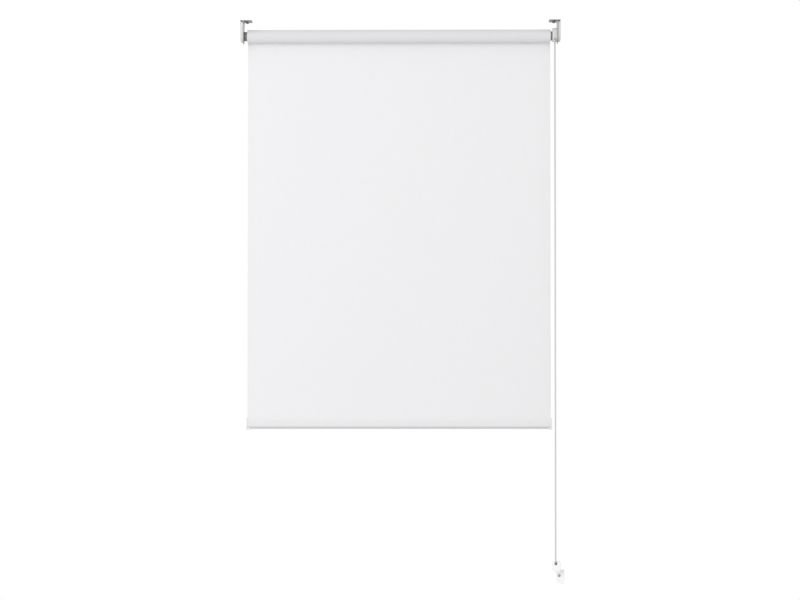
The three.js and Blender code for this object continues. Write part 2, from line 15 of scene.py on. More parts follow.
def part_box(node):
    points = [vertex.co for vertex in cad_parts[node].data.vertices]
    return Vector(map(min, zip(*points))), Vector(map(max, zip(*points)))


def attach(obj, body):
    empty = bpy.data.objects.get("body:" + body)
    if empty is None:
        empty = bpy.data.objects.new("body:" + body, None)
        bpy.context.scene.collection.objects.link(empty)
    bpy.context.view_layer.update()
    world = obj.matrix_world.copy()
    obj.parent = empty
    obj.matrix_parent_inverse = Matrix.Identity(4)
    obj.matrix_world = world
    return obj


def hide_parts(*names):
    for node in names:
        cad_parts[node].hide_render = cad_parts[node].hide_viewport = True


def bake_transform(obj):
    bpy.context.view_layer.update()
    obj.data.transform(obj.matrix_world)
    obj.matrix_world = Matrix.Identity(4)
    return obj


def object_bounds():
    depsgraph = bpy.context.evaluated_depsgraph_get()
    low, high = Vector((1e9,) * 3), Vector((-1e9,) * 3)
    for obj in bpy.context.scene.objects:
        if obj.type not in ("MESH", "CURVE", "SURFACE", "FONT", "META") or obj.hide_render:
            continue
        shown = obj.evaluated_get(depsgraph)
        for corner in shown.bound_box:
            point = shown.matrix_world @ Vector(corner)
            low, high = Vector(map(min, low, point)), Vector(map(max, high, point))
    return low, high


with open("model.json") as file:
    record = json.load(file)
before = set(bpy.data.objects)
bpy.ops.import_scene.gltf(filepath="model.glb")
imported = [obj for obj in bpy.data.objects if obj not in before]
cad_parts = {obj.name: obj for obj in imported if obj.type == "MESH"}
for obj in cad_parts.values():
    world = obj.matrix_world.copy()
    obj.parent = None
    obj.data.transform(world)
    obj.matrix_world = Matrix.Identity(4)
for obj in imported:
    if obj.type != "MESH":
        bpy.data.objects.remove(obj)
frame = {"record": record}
cad_low, cad_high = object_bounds()
record = frame["record"]
BODY_OF = {part: body for body, parts in record["behaviour"]["bodies"].items() for part in parts}
SLOT_OF = {part["node"]: part["material_slot"] for part in record["subparts"]}

MM = 0.001

# Sizes in millimetres that the frame's boxes don't give
GAP = 0.3
STEEL = 2.0
COVER_DEPTH = 6.6
COVER_WALL = 1.6
COVER_ROUNDING = 4.0
CEILING_SCREW_Y = 12.0
CLIP_Y = 10.0
BEAD_PITCH = 6.0
WHEEL_POCKETS = 12
PULLEY_POCKETS = 6
LINK_RADIUS = 0.65  # the cord that shows between two beads
FABRIC_THICKNESS = 0.5
LAYER_PITCH = 0.49  # from one turn of wound fabric to the next
LAYER_THICKNESS = 0.42
THREAD_PITCH = 0.55
POCKET_WALL = 0.6
WELD_HEIGHT = 5.0
BAR_WALL = 1.2
CAP_FLANGE = 3.0
CAP_PROUD = 2.2
CAP_LIP = 8.0
GUARD_WALL = 1.6
GUARD_PLATE = 1.1
TENSIONER_PLATE = 3.0
TENSIONER_WALL = 1.5
TAB_INSET = 2.6  # from the middle of the pulley to the near edge of the screw tab
TAB_OVERLAP = 5.0
TUBE_WALL = 1.0
PIN_RADIUS = 3.0
PIN_BORE = 3.4
CORE_BORE = 5.9
AXLE_RADIUS = 1.4
SCREW_SHANK = 1.9
SEAM = 0.02  # left between two pieces that look joined
WRAP_END = 345  # degrees of the roll that the outermost turn of cloth covers


def extent(node_name):
    """The lowest and highest corner of a CAD node, in millimetres."""
    low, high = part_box(node_name)
    return low / MM, high / MM


tube_low, tube_high = extent("roller_tube")
_, roll_high = extent("fabric_roll")
hung_low, hung_high = extent("hanging_fabric")
bar_low, bar_high = extent("bottom_bar")
pocket_low, pocket_high = extent("hem_pocket")
strand_low, strand_high = extent("chain_front_strand")
pulley_low, pulley_high = extent("tensioner_pulley")

HALF = tube_high.x
AXIS_Z = (tube_low.z + tube_high.z) / 2
TUBE_RADIUS = tube_high.y
TUBE_BORE = TUBE_RADIUS - TUBE_WALL
ROLL_RADIUS = roll_high.y
FABRIC_Y = (hung_low.y + hung_high.y) / 2
BAR_Z = (bar_low.z + bar_high.z) / 2
BAR_HEIGHT = bar_high.z - bar_low.z
BAR_THICKNESS = bar_high.y - bar_low.y
# Height of the painted shade line near the hem's lower edge
HEM_SHADE_LINE_Z = pocket_low.z + 4.4
BEAD_RADIUS = (strand_high.x - strand_low.x) / 2
CHAIN_X = (strand_low.x + strand_high.x) / 2
PULLEY_Y = (pulley_low.y + pulley_high.y) / 2
PULLEY_Z = (pulley_low.z + pulley_high.z) / 2
WHEEL_RADIUS = WHEEL_POCKETS * BEAD_PITCH / (2 * math.pi)
PULLEY_RADIUS = PULLEY_POCKETS * BEAD_PITCH / (2 * math.pi)


# Shader nodes

def node(tree, kind, inputs, **settings):
    """A shader node. Each input is given by name or number, as a value, a socket or a node."""
    made = tree.nodes.new("ShaderNode" + kind)
    for key, value in settings.items():
        setattr(made, key, value)
    for key, value in inputs.items():
        if isinstance(value, bpy.types.Node):
            value = value.outputs[0]
        if isinstance(value, bpy.types.NodeSocket):
            tree.links.new(value, made.inputs[key])
        else:
            made.inputs[key].default_value = value
    return made


def maths(tree, operation, *values):
    return node(tree, "Math", dict(enumerate(values)), operation=operation)


def new_material(name, colour, roughness, metallic=0.0):
    made = bpy.data.materials.new(name)
    made.use_nodes = True
    shader = made.node_tree.nodes["Principled BSDF"]
    shader.inputs["Base Color"].default_value = (*colour, 1)
    shader.inputs["Roughness"].default_value = roughness
    shader.inputs["Metallic"].default_value = metallic
    return made, made.node_tree, shader


def place_on_piece(tree, squeeze=(1, 1, 1)):
    """Coordinates on the piece, in metres, made finer or coarser along each axis."""
    place = node(tree, "TexCoord", {})
    return node(tree, "Mapping", {"Vector": place.outputs["Object"], "Scale": squeeze})


def noise(tree, place, size, detail=3.0):
    """Noise with lumps of about `size` millimetres."""
    return node(tree, "TexNoise", {"Vector": place, "Scale": 1 / (size * MM), "Detail": detail})


def ranged(tree, factor, low, high, start=0.3, end=0.7):
    """A number that runs from low to high as the factor runs from start to end."""
    return node(tree, "MapRange", {0: factor, 1: start, 2: end, 3: low, 4: high})


def shade(colour, share):
    return tuple(part * share for part in colour)


def tones(tree, factor, dark, light, start=0.3, end=0.7):
    """A colour that runs from dark to light as the factor runs from start to end."""
    ramp = node(tree, "ValToRGB", {"Fac": factor})
    for element, position, colour in zip(ramp.color_ramp.elements, (start, end), (dark, light)):
        element.position = position
        element.color = (*colour, 1)
    return ramp


def bump(tree, shader, height, depth, onto=None):
    """Relief `depth` millimetres deep on the shader's surface."""
    inputs = {"Height": height, "Distance": depth * MM, "Strength": 1.0}
    if onto is not None:
        inputs["Normal"] = onto
    made = node(tree, "Bump", inputs)
    tree.links.new(made.outputs[0], shader.inputs["Normal"])
    return made


# Materials

def moulded(name, colour, roughness):
    """Injection-moulded plastic, with a fine eroded grain, faint flow marks and uneven gloss."""
    made, tree, shader = new_material(name, colour, roughness)
    place = place_on_piece(tree)
    flow = noise(tree, place, 9, 2)
    grain = noise(tree, place, 0.3, 2)
    tint = tones(tree, flow, shade(colour, 0.96), colour)
    tree.links.new(tint.outputs[0], shader.inputs["Base Color"])
    gloss = ranged(tree, grain, roughness - 0.06, roughness + 0.08)
    tree.links.new(gloss.outputs[0], shader.inputs["Roughness"])
    skin = bump(tree, shader, grain, 0.012)
    bump(tree, shader, flow, 0.05, skin)
    return made


def zinc_plate(name, colour):
    """Pressed sheet with a dull zinc coat: cloudy spangle and rolling lines, with painted shade darkening
    the flange.
    """
    made, tree, shader = new_material(name, colour, 0.42, 0.85)
    place = place_on_piece(tree)
    spangle = node(tree, "TexVoronoi", {"Vector": place, "Scale": 420.0})
    cloud = noise(tree, place, 4, 4)
    mixed = maths(tree, "MULTIPLY_ADD", spangle, 0.25, cloud)
    # Painted shade: the tone darkens towards the flange at the top, in place of the shade under it.
    flange = ranged(tree, node(tree, "SeparateXYZ", {0: place}).outputs["Z"], 0.0, 0.45, -0.006, -0.001)
    spangle_and_flange_shade = maths(tree, "SUBTRACT", mixed, flange)
    tint = tones(tree, spangle_and_flange_shade, shade(colour, 0.3), colour, 0.1, 0.75)
    tree.links.new(tint.outputs[0], shader.inputs["Base Color"])
    gloss = ranged(tree, cloud, 0.52, 0.34)
    tree.links.new(gloss.outputs[0], shader.inputs["Roughness"])
    rolled = place_on_piece(tree, (1, 0.05, 1))
    lines = noise(tree, rolled, 0.2, 3)
    bump(tree, shader, lines, 0.008)
    return made


def blackened(name, colour):
    """Blackened screw steel, rubbed lighter in specks."""
    made, tree, shader = new_material(name, colour, 0.4, 0.75)
    place = place_on_piece(tree)
    specks = noise(tree, place, 0.5, 5)
    tint = tones(tree, specks, colour, shade(colour, 2.6), 0.45, 0.8)
    tree.links.new(tint.outputs[0], shader.inputs["Base Color"])
    gloss = ranged(tree, specks, 0.3, 0.5)
    tree.links.new(gloss.outputs[0], shader.inputs["Roughness"])
    bump(tree, shader, specks, 0.01)
    return made


def drawn_metal(name, colour, roughness, squeeze):
    """Metal drawn or turned in one direction, with fine lines along it and a cloudy tone."""
    made, tree, shader = new_material(name, colour, roughness, 0.92)
    lines = noise(tree, place_on_piece(tree, squeeze), 0.12, 4)
    cloud = noise(tree, place_on_piece(tree), 12, 2)
    tint = tones(tree, cloud, shade(colour, 0.88), colour)
    tree.links.new(tint.outputs[0], shader.inputs["Base Color"])
    gloss = ranged(tree, lines, roughness - 0.08, roughness + 0.1)
    tree.links.new(gloss.outputs[0], shader.inputs["Roughness"])
    bump(tree, shader, lines, 0.006)
    return made


def film(name, colour):
    """Adhesive tape: a slightly wrinkled, shiny film with tiny bubbles under it."""
    made, tree, shader = new_material(name, colour, 0.28)
    place = place_on_piece(tree)
    bubbles = noise(tree, place, 0.8, 4)
    tint = tones(tree, bubbles, shade(colour, 0.85), colour, 0.35, 0.6)
    tree.links.new(tint.outputs[0], shader.inputs["Base Color"])
    wrinkles = noise(tree, place_on_piece(tree, (0.2, 1, 1)), 3, 2)
    bump(tree, shader, wrinkles, 0.03)
    return made


def woven(name, colour, wound=False, hem_share=1.0):
    """Plain-weave blind cloth: raised thread crossings with painted shade in the grooves between them,
    slubs, and a greyer sealed edge.

    Wound cloth measures its threads round the roller. Over the hem's bar the tone falls to hem_share as
    painted shade, and a painted shade line darkens the cloth near the hem's lower edge.
    """
    made, tree, shader = new_material(name, colour, 0.85)
    axes = node(tree, "SeparateXYZ", {0: place_on_piece(tree)})
    across, depth, height = axes.outputs
    along = height
    if wound:
        raised = maths(tree, "SUBTRACT", height, AXIS_Z * MM)
        angle = maths(tree, "ARCTAN2", raised, depth)
        along = maths(tree, "MULTIPLY", angle, ROLL_RADIUS * MM)
    turns = math.pi / (THREAD_PITCH * MM)
    warp = maths(tree, "COSINE", maths(tree, "MULTIPLY", across, turns))
    weft = maths(tree, "COSINE", maths(tree, "MULTIPLY", along, turns))
    crossing = maths(tree, "MULTIPLY", warp, weft)
    relief = maths(tree, "ABSOLUTE", crossing)
    thread = node(tree, "CombineXYZ", {0: across, 1: along})
    slub_sizes = [(1, 0.02, 1), (0.02, 1, 1)]
    slubs = [
        noise(tree, node(tree, "Mapping", {"Vector": thread, "Scale": size}), 1.1, 2)
        for size in slub_sizes
    ]
    uneven = maths(tree, "ADD", *slubs)
    tone = ranged(tree, uneven, 0.975, 1.0, 0.75, 1.25)
    # Painted shade: the grooves between the thread crossings are darkened.
    grooves = ranged(tree, relief, 0.93, 1.0, 0.0, 0.5)
    side = maths(tree, "ABSOLUTE", across)
    edge = ranged(tree, side, 1.0, 0.98, (HALF - 2.8) * MM, (HALF - 1.2) * MM)
    share = maths(tree, "MULTIPLY", maths(tree, "MULTIPLY", tone, grooves), edge)
    # Painted shade: the cloth darkens over the bar, where the bar keeps light from coming through, and along
    # a line near the hem's lower edge, where the pocket's underside is in shade.
    if hem_share < 1:
        shade_over_bar = ranged(tree, height, hem_share, 1.0, BAR_Z * MM, pocket_high.z * MM)
        from_shade_line = maths(tree, "ABSOLUTE", maths(tree, "SUBTRACT", height, HEM_SHADE_LINE_Z * MM))
        line = ranged(tree, from_shade_line, 0.76, 1.0, 1.3 * MM, 3.4 * MM)
        share = maths(tree, "MULTIPLY", maths(tree, "MULTIPLY", share, shade_over_bar), line)
    tint = tones(tree, share, (0, 0, 0), colour, 0.0, 1.0)
    tree.links.new(tint.outputs[0], shader.inputs["Base Color"])
    yarns = bump(tree, shader, uneven, 0.02)
    bump(tree, shader, relief, 0.05, yarns)
    return made


# Shapes

def spread(first, last, count):
    return [first + (last - first) * i / (count - 1) for i in range(count)]


def arc(centre, radius, start, end, steps):
    """Points on an arc, its angles in degrees."""
    angles = [math.radians(angle) for angle in spread(start, end, steps + 1)]
    return [(centre[0] + radius * math.cos(a), centre[1] + radius * math.sin(a)) for a in angles]


def rectangle(left, bottom, right, top):
    return [(left, bottom), (right, bottom), (right, top), (left, top)]


def rounded(corners, radius, closed=True, steps=4):
    """An outline or profile with its corners rounded, by one radius or by one for each corner."""
    count = len(corners)
    radii = radius if isinstance(radius, (list, tuple)) else [radius] * count
    points = []
    for i, corner in enumerate(corners):
        here = Vector(corner)
        if radii[i] == 0 or not closed and i in (0, count - 1):
            points.append(tuple(here))
            continue
        back = Vector(corners[i - 1]) - here
        on = Vector(corners[(i + 1) % count]) - here
        half_angle = back.angle(on) / 2
        reach = min(radii[i] / math.tan(half_angle), 0.49 * back.length, 0.49 * on.length)
        middle = here + (back.normalized() + on.normalized()).normalized() * reach / math.cos(half_angle)
        start = here + back.normalized() * reach - middle
        end = here + on.normalized() * reach - middle
        arms = [start.slerp(end, share) * start.length for share in spread(0, 1, steps + 1)]
        points += [tuple(middle + arm) for arm in arms]
    return points


def inset(outline, distance):
    """A closed outline moved inwards."""
    points = [Vector(point) for point in outline]
    around = list(zip(points[-1:] + points[:-1], points, points[1:] + points[:1]))
    area = sum(here.cross(after) for _, here, after in around)
    turn = math.copysign(1, area)
    moved = []
    for before, here, after in around:
        sides = [(here - before).normalized(), (after - here).normalized()]
        normals = [Vector((-side.y, side.x)) * turn for side in sides]
        both = normals[0] + normals[1]
        moved.append(here + both * distance / (1 + normals[0].dot(normals[1])))
    return moved


def tongue(radius, centre_z, top, corner):
    """An upright outline with a half-round lower end and rounded upper corners."""
    lower = arc((0, centre_z), radius, 180, 360, 32)
    right = arc((radius - corner, top - corner), corner, 0, 90, 6)
    left = arc((corner - radius, top - corner), corner, 90, 180, 6)
    return lower + right + left


def oval(grow, y=FABRIC_Y, z=BAR_Z):
    """The bottom bar's outline, grown outwards."""
    radius = BAR_THICKNESS / 2 + grow
    straight = (BAR_HEIGHT - BAR_THICKNESS) / 2
    return arc((y, z + straight), radius, 0, 180, 20) + arc((y, z - straight), radius, 180, 360, 20)


ALONG = {
    "X": lambda level, point: (level, point[0], point[1]),
    "Y": lambda level, point: (point[0], level, point[1]),
    "Z": lambda level, point: (point[0], point[1], level),
}


def as_object(shape):
    """The object of a finished bmesh."""
    bmesh.ops.recalc_face_normals(shape, faces=shape.faces)
    mesh = bpy.data.meshes.new("shape")
    shape.to_mesh(mesh)
    shape.free()
    made = bpy.data.objects.new("shape", mesh)
    bpy.context.scene.collection.objects.link(made)
    return made


def balls(radius, centres):
    """One mesh of separate balls."""
    shape = bmesh.new()
    for centre in centres:
        bmesh.ops.create_uvsphere(
            shape, u_segments=24, v_segments=16, radius=radius, matrix=Matrix.Translation(centre)
        )
    return as_object(shape)


def loft(rings, hollow=False):
    """A shape with faces between rings of points, its ends closed, or joined together if hollow."""
    shape = bmesh.new()
    rows = [[shape.verts.new(point) for point in ring] for ring in rings]
    pairs = list(zip(rows, rows[1:]))
    if hollow:
        pairs.append((rows[-1], rows[0]))
    else:
        shape.faces.new(rows[0])
        shape.faces.new(rows[-1])
    for one, other in pairs:
        for i in range(len(one)):
            shape.faces.new((one[i - 1], one[i], other[i], other[i - 1]))
    return as_object(shape)


def quarter(radius, steps=4):
    """The (depth, inset) steps of a rounded rim, from the face to the side."""
    angles = spread(0, math.pi / 2, steps + 1)
    return [(radius * (1 - math.cos(a)), radius * (1 - math.sin(a))) for a in angles]


def slab(axis, outline, low, high, rim=0.3, steps=3):
    """An outline drawn out along an axis, with rounded rims."""
    lower = [(low + depth, inwards) for depth, inwards in quarter(rim, steps)]
    upper = [(high - depth, inwards) for depth, inwards in reversed(quarter(rim, steps))]
    rings = [
        [ALONG[axis](level, point) for point in inset(outline, inwards)]
        for level, inwards in lower + upper
    ]
    return loft(rings)


def cup(axis, outline, mouth, end, wall, floor_wall, rounding):
    """A shell that is open at its mouth and closed, with a rounded rim, at its end."""
    way = math.copysign(1, end - mouth)
    inner_rounding = max(rounding - wall, 0.4)
    inner_end = end - way * floor_wall
    inside = [(inner_end - way * depth, wall + inwards) for depth, inwards in quarter(inner_rounding, 5)]
    outside = [(end - way * depth, inwards) for depth, inwards in reversed(quarter(rounding, 7))]
    lip = 0.25
    rim = [(mouth + way * lip, wall), (mouth, wall - lip), (mouth, lip), (mouth + way * lip, 0)]
    rings = [
        [ALONG[axis](level, point) for point in inset(outline, inwards)]
        for level, inwards in inside + rim + outside
    ]
    return loft(rings)


def turned(profile, hollow=False, segments=64, y=0.0, z=AXIS_Z):
    """A solid of revolution about a line along X, from (x, radius) points. A hollow one is a ring."""
    angles = [2 * math.pi * i / segments for i in range(segments)]
    rings = [
        [(x, y + radius * math.cos(a), z + radius * math.sin(a)) for a in angles]
        for x, radius in profile
        if radius > 0
    ]
    return loft(rings, hollow)


def rod(radius, low, high, rim=0.3, **settings):
    corners = [(low, 0), (low, radius), (high, radius), (high, 0)]
    return turned(rounded(corners, rim, closed=False), **settings)


def ring(outer, inner, low, high, rim=0.3, **settings):
    corners = [(low, inner), (low, outer), (high, outer), (high, inner)]
    return turned(rounded(corners, rim), hollow=True, **settings)


def wire(points, radius, sides=10):
    """A round wire along a line of points."""
    rings = []
    side = Vector((1, 0, 0))
    for before, here, after in zip(points[:1] + points[:-1], points, points[1:] + points[-1:]):
        ahead = (after - before).normalized()
        side = (side - ahead * side.dot(ahead)).normalized()
        other = ahead.cross(side)
        angles = [2 * math.pi * i / sides for i in range(sides)]
        rings.append([here + radius * (math.cos(a) * side + math.sin(a) * other) for a in angles])
    return loft(rings)


def ribbon(line, thickness, ends=None):
    """A strip of cloth as wide as the blind that follows a line of (y, z) points."""
    rings = []
    points = [Vector(point) for point in line]
    for i, here in enumerate(points):
        ahead = (points[min(i + 1, len(points) - 1)] - points[max(i - 1, 0)]).normalized()
        out = Vector((-ahead.y, ahead.x)) * thickness / 2
        left, right = ends[i] if ends else (-HALF, HALF)
        near, far = here + out, here - out
        rings.append([(left, *near), (right, *near), (right, *far), (left, *far)])
    return loft(rings)


def clean(mesh):
    """Take out the faces without area that a cut can leave."""
    shape = bmesh.new()
    shape.from_mesh(mesh)
    many_sided = [face for face in shape.faces if len(face.verts) > 4]
    bmesh.ops.triangulate(shape, faces=many_sided)
    bmesh.ops.dissolve_degenerate(shape, dist=0.002, edges=shape.edges)
    shape.to_mesh(mesh)
    shape.free()


def combined(base, others, operation):
    for other in others:
        modifier = base.modifiers.new("combine", "BOOLEAN")
        modifier.operation = operation
        modifier.solver = "EXACT"
        modifier.object = other
        bpy.context.view_layer.update()
        seen = base.evaluated_get(bpy.context.evaluated_depsgraph_get())
        result = bpy.data.meshes.new_from_object(seen)
        base.modifiers.clear()
        base.data = result
        bpy.data.objects.remove(other)
    clean(base.data)
    return base


def joined(base, *others):
    return combined(base, others, "UNION")


def carved(base, *others):
    return combined(base, others, "DIFFERENCE")


def placed(made, x, y, z, turn=Matrix.Identity(4)):
    """A shape turned about the origin and then moved."""
    made.data.transform(Matrix.Translation((x, y, z)) @ turn)
    return made


def mirrored(made):
    """A shape made for the chain side, turned into one for the idle side."""
    made.data.transform(Matrix.Diagonal((-1, 1, 1, 1)))
    made.data.flip_normals()
    return made


def finished(made, *cad_nodes, paint=None, sharp=32):
    """A shape scaled to metres and painted, to be shown for some CAD nodes."""
    slot = SLOT_OF[cad_nodes[0]]
    made.name = cad_nodes[0] + "_piece"
    made.data.name = made.name
    made.data.transform(Matrix.Scale(MM, 4))
    made.data.shade_smooth()
    made.data.set_sharp_from_angle(angle=math.radians(sharp))
    made.data.materials.clear()
    made.data.materials.append(paint or PAINTS[slot])
    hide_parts(*cad_nodes)
    return made


def stands_for(made, *cad_nodes, **settings):
    """A finished piece that rides on its first CAD node's body, its flat faces kept flat."""
    finished(made, *cad_nodes, **settings)
    made.modifiers.new("flat_faces", "WEIGHTED_NORMAL").keep_sharp = True
    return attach(made, BODY_OF[cad_nodes[0]])


# Camera and light

def camera():
    """In front of the blind, a little to the chain side, below its middle and looking slightly up."""
    distance = 6.5
    below_middle = 0.213
    turn = math.radians(0.9)
    lens = bpy.data.cameras.new("camera")
    lens.lens = 111.15
    lens.sensor_width = 36
    lens.clip_end = 100
    made = bpy.data.objects.new("camera", lens)
    height = (cad_low.z + cad_high.z) / 2 - below_middle
    made.location = (0.003 + distance * math.tan(turn), -distance, height)
    made.rotation_euler = (math.radians(91.91), 0, turn)
    bpy.context.scene.collection.objects.link(made)
    bpy.context.scene.camera = made


def softbox(name, place, size, power):
    """A large square light that faces the middle of the blind."""
    lamp = bpy.data.lights.new(name, "AREA")
    lamp.size = size
    lamp.energy = power
    made = bpy.data.objects.new(name, lamp)
    made.location = place
    target = (cad_low + cad_high) / 2
    made.rotation_euler = (target - made.location).to_track_quat("-Z", "Y").to_euler()
    bpy.context.scene.collection.objects.link(made)


def studio_air():
    """White behind everything, and a softer white light from all round."""
    world = bpy.data.worlds.new("studio")
    world.use_nodes = True
    tree = world.node_tree
    tree.nodes.clear()
    around = node(tree, "Background", {"Color": (1, 1, 1, 1), "Strength": 0.78})
    behind = node(tree, "Background", {"Color": (1, 1, 1, 1), "Strength": 1.0})
    path = node(tree, "LightPath", {})
    both = node(tree, "MixShader", {0: path.outputs["Is Camera Ray"], 1: around, 2: behind})
    node(tree, "OutputWorld", {"Surface": both})
    bpy.context.scene.world = world


def floor():
    """A pale paper floor under the blind that fades to white before its rim."""
    radius = 6.0
    depth = 2.3
    outline = arc((0, 0), radius / MM, 0, 360, 96)[:-1]
    made = slab("Z", outline, -depth / MM - 2, -depth / MM, 0.5)
    made.name = "floor"
    made.data.transform(Matrix.Scale(MM, 4))
    paint, tree, shader = new_material("floor_paper", (0.74, 0.74, 0.735), 0.85)
    place = node(tree, "TexCoord", {})
    away = node(tree, "VectorMath", {0: place.outputs["Object"]}, operation="LENGTH")
    fibres = noise(tree, place.outputs["Object"], 4, 5)
    bump(tree, shader, fibres, 0.1)
    fade = ranged(tree, away.outputs["Value"], 0.0, 1.0, depth + 0.4, radius)
    glow = node(tree, "Emission", {"Color": (1, 1, 1, 1), "Strength": 1.0})
    both = node(tree, "MixShader", {0: fade, 1: shader.outputs[0], 2: glow})
    tree.links.new(both.outputs[0], tree.nodes["Material Output"].inputs["Surface"])
    made.data.materials.append(paint)


# The bead chain

def chain_places():
    """Each bead's centre and direction along the loop, from the top of the wheel down the front."""
    offset = Vector((PULLEY_Y, PULLEY_Z - AXIS_Z))
    lean = math.asin((WHEEL_RADIUS - PULLEY_RADIUS) / offset.length)
    down = math.atan2(offset.y, offset.x)
    front = down + 1.5 * math.pi + lean
    rear = down + math.pi / 2 - lean
    straight = math.sqrt(offset.length ** 2 - (WHEEL_RADIUS - PULLEY_RADIUS) ** 2)

    def on_circle(centre, radius, angle):
        place = centre + radius * Vector((math.cos(angle), math.sin(angle)))
        return place, Vector((-math.sin(angle), math.cos(angle)))

    def on_strand(centre, radius, angle, distance):
        place, ahead = on_circle(centre, radius, angle)
        return place + ahead * distance, ahead

    wheel = Vector((0, AXIS_Z))
    pulley = wheel + offset
    top = math.pi / 2
    stretches = [
        (WHEEL_RADIUS * (front - top), lambda s: on_circle(wheel, WHEEL_RADIUS, top + s / WHEEL_RADIUS)),
        (straight, lambda s: on_strand(wheel, WHEEL_RADIUS, front, s)),
        (
            PULLEY_RADIUS * (rear + 2 * math.pi - front),
            lambda s: on_circle(pulley, PULLEY_RADIUS, front + s / PULLEY_RADIUS),
        ),
        (straight, lambda s: on_strand(pulley, PULLEY_RADIUS, rear, s)),
        (WHEEL_RADIUS * (top - rear), lambda s: on_circle(wheel, WHEEL_RADIUS, rear + s / WHEEL_RADIUS)),
    ]
    beads = round(sum(length for length, _ in stretches) / BEAD_PITCH)
    places = []
    for bead in range(beads):
        along = bead * BEAD_PITCH
        for length, place_at in stretches:
            if along < length:
                break
            along -= length
        (y, z), (ahead_y, ahead_z) = place_at(along)
        places.append((Vector((CHAIN_X, y, z)), Vector((0, ahead_y, ahead_z))))
    return places


def bead_chain():
    """Moulded beads on a cord, in one endless loop over the wheel and round the pulley."""
    places = chain_places()
    sides = 12
    narrow = math.asin(LINK_RADIUS / BEAD_RADIUS)
    around = [2 * math.pi * i / sides for i in range(sides)]
    across = Vector((1, 0, 0))
    rings = []
    for centre, ahead in places:
        out = ahead.cross(across)
        for turn in spread(narrow, math.pi - narrow, 9):
            middle = centre - ahead * BEAD_RADIUS * math.cos(turn)
            radius = BEAD_RADIUS * math.sin(turn)
            rings.append([middle + radius * (math.cos(a) * across + math.sin(a) * out) for a in around])
    chain = stands_for(
        loft(rings, hollow=True),
        "chain_front_strand", "chain_rear_strand", "chain_on_wheel", "chain_on_pulley",
        sharp=60,
    )
    path = [centre * MM for centre, _ in places]
    path.append(path[0])


def pockets(centre, first, count):
    """Bead-shaped cutters round a wheel or pulley, the first at a bead of the chain."""
    places = []
    for pocket in range(count):
        turn = Matrix.Rotation(2 * math.pi * pocket / count, 4, "X")
        places.append(centre + turn @ (first - centre))
    return balls(BEAD_RADIUS + 0.2, places)


def chain_wheel():
    """Two rims and a pocketed barrel, with a sleeve that reaches into the roller."""
    low, high = extent("chain_wheel")
    rim = high.y
    side = high.x - CHAIN_X
    groove = BEAD_RADIUS + GAP
    barrel = WHEEL_RADIUS - 1.3
    sleeve = 8.6
    corners = [
        (low.x, CORE_BORE), (low.x, sleeve), (CHAIN_X - side, sleeve), (CHAIN_X - side, rim),
        (CHAIN_X - groove, rim), (CHAIN_X - groove + 0.3, barrel),
        (CHAIN_X + groove - 0.3, barrel), (CHAIN_X + groove, rim),
        (high.x, rim), (high.x, CORE_BORE),
    ]
    radii = [0.3, 0.5, 0.4, 0.3, 0.3, 0.2, 0.2, 0.3, 0.3, 0.3]
    wheel = turned(rounded(corners, radii), hollow=True, segments=96)
    centre = Vector((CHAIN_X, 0, AXIS_Z))
    cutters = pockets(centre, chain_places()[0][0], WHEEL_POCKETS)
    stands_for(carved(wheel, cutters), "chain_wheel")


def tensioner_pulley():
    """A small pocketed pulley that holds the chain's lower end."""
    bore = AXLE_RADIUS + 0.35
    rim = pulley_high.y - PULLEY_Y
    groove = BEAD_RADIUS + GAP
    barrel = PULLEY_RADIUS - 1.5
    low, high = pulley_low.x, pulley_high.x
    corners = [
        (low, bore), (low, rim), (CHAIN_X - groove, rim), (CHAIN_X - groove + 0.3, barrel),
        (CHAIN_X + groove - 0.3, barrel), (CHAIN_X + groove, rim), (high, rim), (high, bore),
    ]
    pulley = turned(rounded(corners, 0.25), hollow=True, y=PULLEY_Y, z=PULLEY_Z)
    centre = Vector((CHAIN_X, PULLEY_Y, PULLEY_Z))
    on_pulley = [bead for bead, _ in chain_places() if (bead - centre).length < PULLEY_RADIUS + 0.01]
    stands_for(carved(pulley, pockets(centre, on_pulley[0], PULLEY_POCKETS)), "tensioner_pulley")


# Brackets and their covers

def arm_face(name):
    """How far the inner face of a bracket's arm is from the middle of the blind."""
    low, high = extent(name)
    return max(-low.x, high.x) - COVER_DEPTH - GAP - STEEL


def mirrored_to(made, name):
    return mirrored(made) if name.startswith("left") else made


